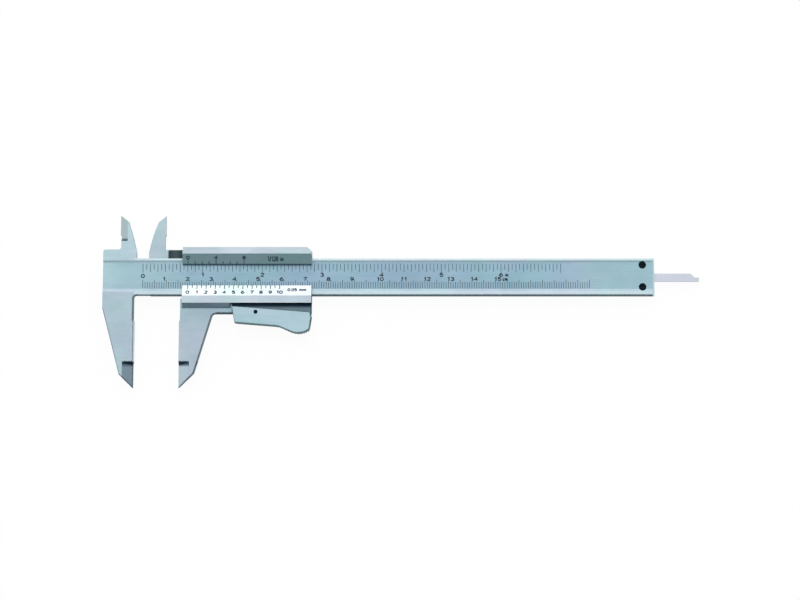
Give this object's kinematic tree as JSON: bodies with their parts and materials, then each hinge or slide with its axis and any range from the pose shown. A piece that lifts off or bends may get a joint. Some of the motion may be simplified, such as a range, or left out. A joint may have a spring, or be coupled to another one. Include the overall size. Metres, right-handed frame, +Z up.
{
  "type": "pocket caliper",
  "caption": "Pocket vernier caliper with outside and inside jaws, depth rod, sloping vernier faces and a sprung thumb lever that locks the slider until it is pressed.",
  "frame": {"origin": "centre of the footprint on the surface that the caliper lies on, scale side up", "axes": "+X along the beam away from the jaws, +Y across the beam towards the inside jaws, +Z up out of the scale face"},
  "size_m": [0.2538, 0.0738, 0.0071],
  "materials": {
    "beam_steel": "satin ground stainless steel, grain along the beam",
    "slider_steel": "satin ground stainless steel",
    "lever_steel": "fine satin pressed steel",
    "rod_steel": "drawn bright steel",
    "plate_steel": "satin steel",
    "screw_steel": "plain steel",
    "rivet_steel": "plain steel",
    "spring_steel": "drawn spring wire",
    "black_oxide": "black oxide",
    "brake_brass": "turned brass"
  },
  "bodies": {
    "beam": {"beam": "beam_steel", "end_stop_plate": "plate_steel", "end_stop_screw_upper": "black_oxide", "end_stop_screw_lower": "black_oxide"},
    "slider": {"slider_body": "slider_steel", "gib_strip": "black_oxide", "gib_screw_near": "black_oxide", "gib_screw_far": "black_oxide", "rod_cover_plate": "plate_steel", "cover_screw_1": "screw_steel", "cover_screw_2": "screw_steel", "cover_screw_3": "screw_steel", "cover_screw_4": "screw_steel", "depth_rod": "rod_steel", "rod_rivet_near": "rivet_steel", "rod_rivet_far": "rivet_steel", "lever_pin": "black_oxide", "lever_spring": "spring_steel"},
    "lever": {"lock_lever": "lever_steel"},
    "brake": {"brake_pin": "brake_brass"}
  },
  "joints": [
    {"name": "slider_slide", "type": "slide", "parent": "beam", "child": "slider", "axis": [1, 0, 0], "range_m": [-0.01928, 0.1307]},
    {"name": "lever_pivot", "type": "hinge", "parent": "slider", "child": "lever", "pos_m": [-0.06175, -0.0046, 0.0033], "axis": [0, 0, 1], "range_deg": [0, 3.5], "stiffness_Nm_per_rad": 0.65, "springref_deg": -4.3, "deforming": ["lever_spring"]},
    {"name": "brake_slide", "type": "slide", "parent": "slider", "child": "brake", "axis": [0, -1, 0], "range_m": [0, 0.00055]}
  ],
  "couplings": [
    {"joint": "brake_slide", "follows": "lever_pivot", "m_per_rad": 0.0085}
  ]
}
